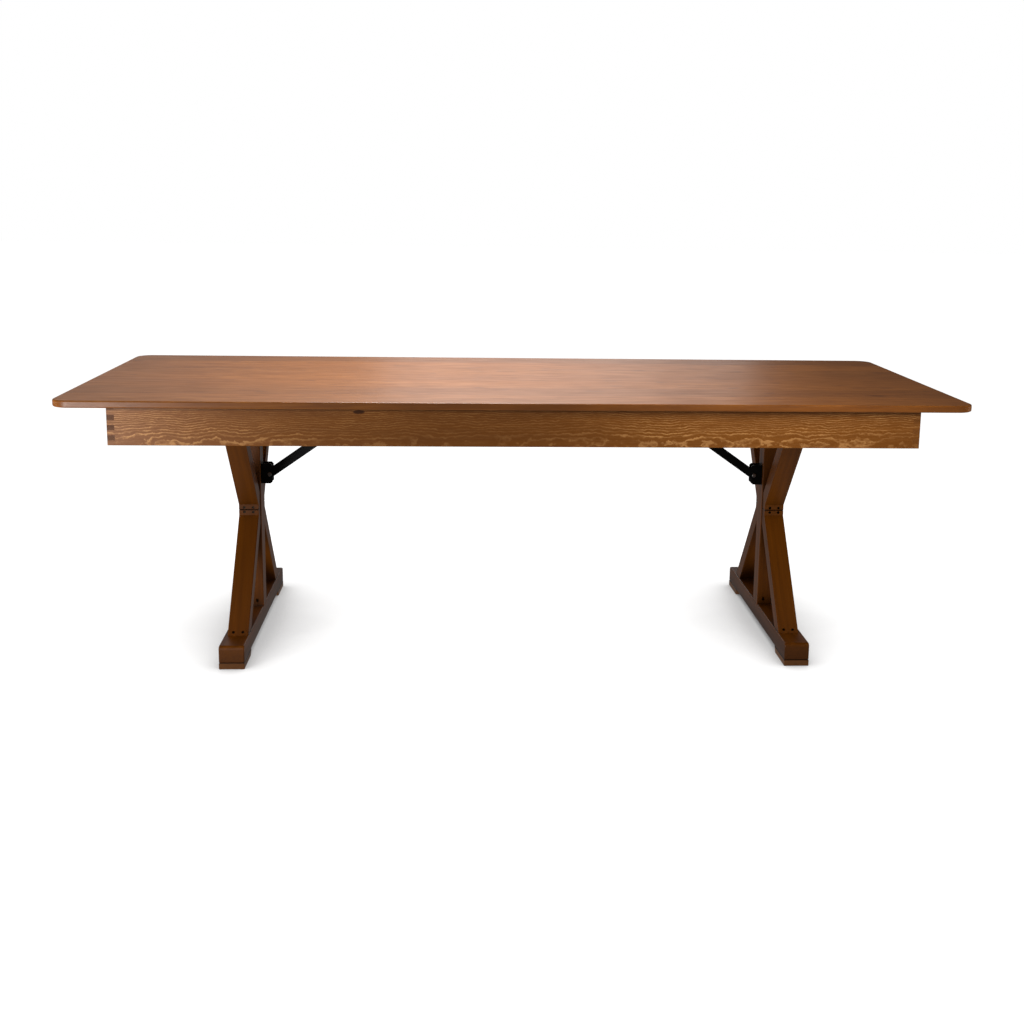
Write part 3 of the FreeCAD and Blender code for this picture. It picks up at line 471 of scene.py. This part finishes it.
def floor():
    """Pale floor, white in the open and soft grey close to the feet."""
    g = Graph("pale_floor")
    mottle = g.noise(g.point, scale=0.6, detail=2.0)
    g.link(g.mix(mottle, *FLOOR_TONES), g.shader.inputs["Base Color"])
    g.shader.inputs["Roughness"].default_value = 0.9
    near = g.add("ShaderNodeAmbientOcclusion", samples=SHADE_SAMPLES)
    near.inputs["Distance"].default_value = SHADE_REACH
    glow = g.math("POWER", near.outputs["AO"], SHADE_POWER)
    g.link(glow, g.shader.inputs["Emission Strength"])
    g.shader.inputs["Emission Color"].default_value = WHITE
    mesh = bpy.data.meshes.new("floor")
    corners = [(FLOOR_REACH * x, FLOOR_REACH * y, 0) for x, y in ((-1, -1), (1, -1), (1, 1), (-1, 1))]
    mesh.from_pydata(corners, [], [(0, 1, 2, 3)])
    mesh.materials.append(g.material)
    plane = bpy.data.objects.new("floor", mesh)
    scene.collection.objects.link(plane)
    plane.visible_glossy = False
    plane.visible_diffuse = False


# Surround: strength of the light it gives, and of what the finish mirrors of it
GIVEN_ABOVE, GIVEN_BELOW = 0.16, 0.46
MIRRORED_FRONT, MIRRORED_ABOVE, MIRRORED_BELOW = 0.03, 0.07, 0.18


def studio():
    """White surround to the camera, dim in the light it gives and in what the finish mirrors."""
    world = bpy.data.worlds.new("studio")
    world.use_nodes = True
    tree = world.node_tree
    add, link = tree.nodes.new, tree.links.new
    background = tree.nodes["Background"]
    background.inputs["Color"].default_value = WHITE
    path, coords, split = (add("ShaderNode" + kind) for kind in ("LightPath", "TexCoord", "SeparateXYZ"))
    link(coords.outputs["Generated"], split.inputs["Vector"])

    def change(axis, start, stop, first, last):
        """A strength that goes from first to last as the direction goes from start to stop."""
        node = add("ShaderNodeMapRange")
        node.interpolation_type = "SMOOTHSTEP"
        limits = {"From Min": start, "From Max": stop, "To Min": first, "To Max": last}
        for name, value in limits.items():
            node.inputs[name].default_value = value
        link(split.outputs[axis], node.inputs["Value"])
        return node

    given = change("Z", 0.2, -0.2, GIVEN_ABOVE, GIVEN_BELOW)
    back = change("Z", 0.0, -0.06, MIRRORED_ABOVE, MIRRORED_BELOW)
    mirrored = change("Y", -0.4, 0.7, MIRRORED_FRONT, MIRRORED_ABOVE)
    link(back.outputs["Result"], mirrored.inputs["To Max"])
    unseen, seen = add("ShaderNodeMix"), add("ShaderNodeMix")
    link(path.outputs["Is Glossy Ray"], unseen.inputs["Factor"])
    link(given.outputs["Result"], unseen.inputs["A"])
    link(mirrored.outputs["Result"], unseen.inputs["B"])
    link(path.outputs["Is Camera Ray"], seen.inputs["Factor"])
    link(unseen.outputs["Result"], seen.inputs["A"])
    seen.inputs["B"].default_value = 1.0
    link(seen.outputs["Result"], background.inputs["Strength"])
    scene.world = world


def softbox(name, at, aim, size, power, mirrored=True):
    """Large soft lamp; mirrored says whether it shows in what the finish reflects."""
    data = bpy.data.lights.new(name, "AREA")
    data.shape = "RECTANGLE"
    data.size, data.size_y = size
    data.energy = power
    lamp = bpy.data.objects.new(name, data)
    lamp.location = at
    lamp.rotation_euler = (Vector(aim) - Vector(at)).to_track_quat("-Z", "Y").to_euler()
    lamp.visible_camera = False
    lamp.visible_glossy = mirrored
    scene.collection.objects.link(lamp)


floor()
studio()
softbox("back_softbox", at=(0.42, 3.4, 1.6), aim=(0.2, 0.0, 0.75), size=(2.05, 1.4), power=8.0)
softbox("back_wide", at=(-0.90, 3.6, 1.7), aim=(-0.4, 0.0, 0.75), size=(3.8, 1.4), power=7.5)
softbox("overhead", at=(-0.22, 0.10, 1.92), aim=(-0.22, 0.10, 0.7), size=(0.8, 0.7), power=33.0)
softbox("front_left", at=(-1.60, -1.45, 0.48), aim=(-0.9, -0.4, 0.45), size=(0.5, 0.6), power=13.0)
softbox("front_right", at=(0.80, -1.15, 0.98), aim=(0.80, -0.44, 0.68), size=(0.8, 0.3), power=4.9,
        mirrored=False)
softbox("side_left", at=(-3.4, -0.15, 0.40), aim=(0.0, -0.15, 0.40), size=(1.0, 0.6), power=22.0,
        mirrored=False)
softbox("side_right", at=(3.4, -0.15, 0.40), aim=(0.0, -0.15, 0.40), size=(1.0, 0.6), power=28.0,
        mirrored=False)

# Bring the scene up to date
bpy.context.view_layer.update()
